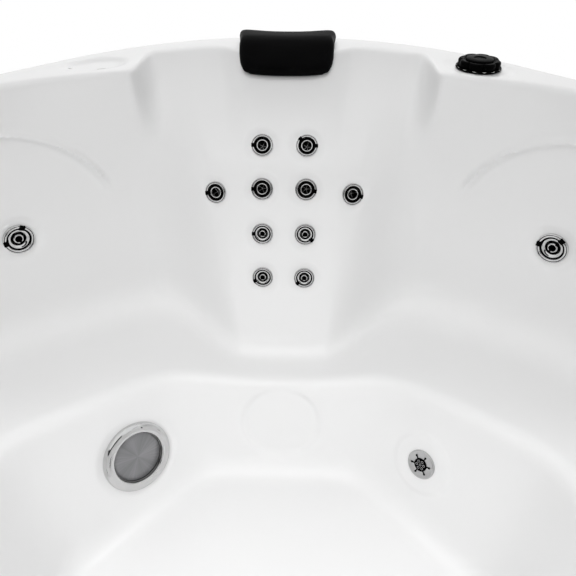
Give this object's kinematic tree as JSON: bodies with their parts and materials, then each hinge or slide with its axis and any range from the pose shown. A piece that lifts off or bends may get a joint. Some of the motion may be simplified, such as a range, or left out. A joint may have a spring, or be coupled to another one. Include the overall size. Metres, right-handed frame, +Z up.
{
  "type": "hot tub",
  "caption": "Square hot tub with round corners: moulded white seats and footwell, grouped jets, light, drain, headrests, rim controls and a slatted cabinet.",
  "frame": {"origin": "on the floor under the centre of the tub", "axes": "+Z up; +X and +Y square to the sides; the seat with the group of ten jets is the +X +Y corner"},
  "size_m": [2, 2, 0.9373],
  "materials": {
    "white_acrylic": "high gloss",
    "chrome": "polished",
    "black_foam": "satin skin",
    "lens": "smoked, brushed",
    "filter_fabric": "pleated",
    "grey_cladding": "fine grain",
    "timber": "sawn",
    "base_plastic": "matt",
    "steel": "brushed",
    "black_plastic": "semi-gloss",
    "white_plastic": "smooth"
  },
  "bodies": {
    "tub": {"shell": "white_acrylic", "jet_manifold": "white_plastic", "light_ring": "chrome", "light_lens": "lens", "light_housing": "black_plastic", "drain_cover": "chrome", "drain_body": "white_plastic", "suction_cover_1": "black_plastic", "suction_body_1": "white_plastic", "suction_cover_2": "black_plastic", "suction_body_2": "white_plastic", "filter_plate": "white_acrylic", "filter_housing": "white_plastic", "filter_cartridge": "filter_fabric", "diverter_body": "white_plastic", "air_valve_body": "white_plastic", "control_panel": "black_plastic", "pillow_1": "black_foam", "pillow_2": "black_foam", "pillow_3": "black_foam", "panel_right": "grey_cladding", "corner_panel_1": "grey_cladding", "panel_back": "grey_cladding", "corner_panel_2": "grey_cladding", "panel_left": "grey_cladding", "corner_panel_3": "grey_cladding", "panel_front": "grey_cladding", "corner_panel_4": "grey_cladding", "frame": "timber", "base_pan": "base_plastic", "pump_motor": "black_plastic", "pump_wet_end": "black_plastic", "heater": "steel", "control_box": "white_plastic", "suction_pipe": "white_plastic", "pressure_pipe": "white_plastic"},
    "jet_ring_01": {"jet_ring_01": "chrome"},
    "jet_ring_02": {"jet_ring_02": "chrome"},
    "jet_ring_03": {"jet_ring_03": "chrome"},
    "jet_ring_04": {"jet_ring_04": "chrome"},
    "jet_ring_05": {"jet_ring_05": "chrome"},
    "jet_ring_06": {"jet_ring_06": "chrome"},
    "jet_ring_07": {"jet_ring_07": "chrome"},
    "jet_ring_08": {"jet_ring_08": "chrome"},
    "jet_ring_09": {"jet_ring_09": "chrome"},
    "jet_ring_10": {"jet_ring_10": "chrome"},
    "side_jet_ring_left": {"side_jet_ring_left": "chrome"},
    "side_jet_ring_right": {"side_jet_ring_right": "chrome"},
    "jet_nozzle_05": {"jet_nozzle_05": "black_plastic"},
    "jet_nozzle_06": {"jet_nozzle_06": "black_plastic"},
    "jet_nozzle_07": {"jet_nozzle_07": "black_plastic"},
    "jet_nozzle_08": {"jet_nozzle_08": "black_plastic"},
    "side_jet_nozzle_left": {"side_jet_nozzle_left": "black_plastic"},
    "side_jet_nozzle_right": {"side_jet_nozzle_right": "black_plastic"},
    "button_1": {"button_1": "steel"},
    "button_2": {"button_2": "steel"},
    "button_3": {"button_3": "steel"},
    "diverter_knob": {"diverter_knob": "black_plastic"},
    "air_knob": {"air_knob": "black_plastic"},
    "pump_rotor": {"pump_rotor": "steel"}
  },
  "joints": [
    {"name": "jet_ring_01_turn", "type": "hinge", "parent": "tub", "child": "jet_ring_01", "pos_m": [0.54225, 0.61296, 0.74699], "axis": [-0.5667, -0.5666, 0.5981], "range_deg": [0, 100]},
    {"name": "jet_ring_02_turn", "type": "hinge", "parent": "tub", "child": "jet_ring_02", "pos_m": [0.61296, 0.54225, 0.74699], "axis": [-0.5666, -0.5667, 0.5981], "range_deg": [0, 100]},
    {"name": "jet_ring_03_turn", "type": "hinge", "parent": "tub", "child": "jet_ring_03", "pos_m": [0.51081, 0.58152, 0.66115], "axis": [-0.6444, -0.6457, 0.4097], "range_deg": [0, 100]},
    {"name": "jet_ring_04_turn", "type": "hinge", "parent": "tub", "child": "jet_ring_04", "pos_m": [0.58152, 0.51081, 0.66115], "axis": [-0.6457, -0.6444, 0.4097], "range_deg": [0, 100]},
    {"name": "jet_ring_05_turn", "type": "hinge", "parent": "tub", "child": "jet_ring_05", "pos_m": [0.4862, 0.55691, 0.56225], "axis": [-0.6684, -0.673, 0.3167], "range_deg": [0, 100]},
    {"name": "jet_ring_06_turn", "type": "hinge", "parent": "tub", "child": "jet_ring_06", "pos_m": [0.55691, 0.4862, 0.56225], "axis": [-0.673, -0.6684, 0.3167], "range_deg": [0, 100]},
    {"name": "jet_ring_07_turn", "type": "hinge", "parent": "tub", "child": "jet_ring_07", "pos_m": [0.46197, 0.53268, 0.45962], "axis": [-0.6668, -0.6746, 0.3168], "range_deg": [0, 100]},
    {"name": "jet_ring_08_turn", "type": "hinge", "parent": "tub", "child": "jet_ring_08", "pos_m": [0.53268, 0.46197, 0.45962], "axis": [-0.6746, -0.6668, 0.3168], "range_deg": [0, 100]},
    {"name": "jet_ring_09_turn", "type": "hinge", "parent": "tub", "child": "jet_ring_09", "pos_m": [0.43444, 0.65647, 0.65101], "axis": [-0.7984, -0.4959, 0.3415], "range_deg": [0, 100]},
    {"name": "jet_ring_10_turn", "type": "hinge", "parent": "tub", "child": "jet_ring_10", "pos_m": [0.65647, 0.43444, 0.65101], "axis": [-0.4959, -0.7984, 0.3415], "range_deg": [0, 100]},
    {"name": "side_jet_ring_left_turn", "type": "hinge", "parent": "tub", "child": "side_jet_ring_left", "pos_m": [0.054, 0.88179, 0.58699], "axis": [-0.0493, -0.9971, 0.0586], "range_deg": [0, 100]},
    {"name": "side_jet_ring_right_turn", "type": "hinge", "parent": "tub", "child": "side_jet_ring_right", "pos_m": [0.88179, 0.054, 0.58699], "axis": [-0.9971, -0.0493, 0.0586], "range_deg": [0, 100]},
    {"name": "jet_nozzle_05_tilt", "type": "hinge", "parent": "jet_ring_05", "child": "jet_nozzle_05", "pos_m": [0.49285, 0.5636, 0.5591], "axis": [0.7095, -0.7047, 0], "range_deg": [-12, 12]},
    {"name": "jet_nozzle_06_tilt", "type": "hinge", "parent": "jet_ring_06", "child": "jet_nozzle_06", "pos_m": [0.5636, 0.49285, 0.5591], "axis": [0.7047, -0.7095, 0], "range_deg": [-12, 12]},
    {"name": "jet_nozzle_07_tilt", "type": "hinge", "parent": "jet_ring_07", "child": "jet_nozzle_07", "pos_m": [0.4686, 0.53939, 0.45647], "axis": [0.7112, -0.703, 0], "range_deg": [-12, 12]},
    {"name": "jet_nozzle_08_tilt", "type": "hinge", "parent": "jet_ring_08", "child": "jet_nozzle_08", "pos_m": [0.53939, 0.4686, 0.45647], "axis": [0.703, -0.7112, 0], "range_deg": [-12, 12]},
    {"name": "side_jet_nozzle_left_tilt", "type": "hinge", "parent": "side_jet_ring_left", "child": "side_jet_nozzle_left", "pos_m": [0.05469, 0.89576, 0.58617], "axis": [0.9988, -0.0494, 0], "range_deg": [-12, 12]},
    {"name": "side_jet_nozzle_right_tilt", "type": "hinge", "parent": "side_jet_ring_right", "child": "side_jet_nozzle_right", "pos_m": [0.89576, 0.05469, 0.58617], "axis": [0.0494, -0.9988, 0], "range_deg": [-12, 12]},
    {"name": "diverter_knob_turn", "type": "hinge", "parent": "tub", "child": "diverter_knob", "pos_m": [0.91146, 0.33175, 0.9], "axis": [0, 0, 1], "range_deg": [0, 180]},
    {"name": "air_knob_turn", "type": "hinge", "parent": "tub", "child": "air_knob", "pos_m": [0.91146, -0.33175, 0.9], "axis": [0, 0, 1], "range_deg": [0, 120]},
    {"name": "button_1_press", "type": "slide", "parent": "tub", "child": "button_1", "axis": [0, 0, -1], "range_m": [0, 0.0015], "stiffness_N_per_m": 400},
    {"name": "button_2_press", "type": "slide", "parent": "tub", "child": "button_2", "axis": [0, 0, -1], "range_m": [0, 0.0015], "stiffness_N_per_m": 400},
    {"name": "button_3_press", "type": "slide", "parent": "tub", "child": "button_3", "axis": [0, 0, -1], "range_m": [0, 0.0015], "stiffness_N_per_m": 400},
    {"name": "pump_rotor_spin", "type": "hinge", "parent": "tub", "child": "pump_rotor", "pos_m": [0.53928, -0.59204, 0.125], "axis": [-0.7071, -0.7071, 0], "continuous": true}
  ]
}
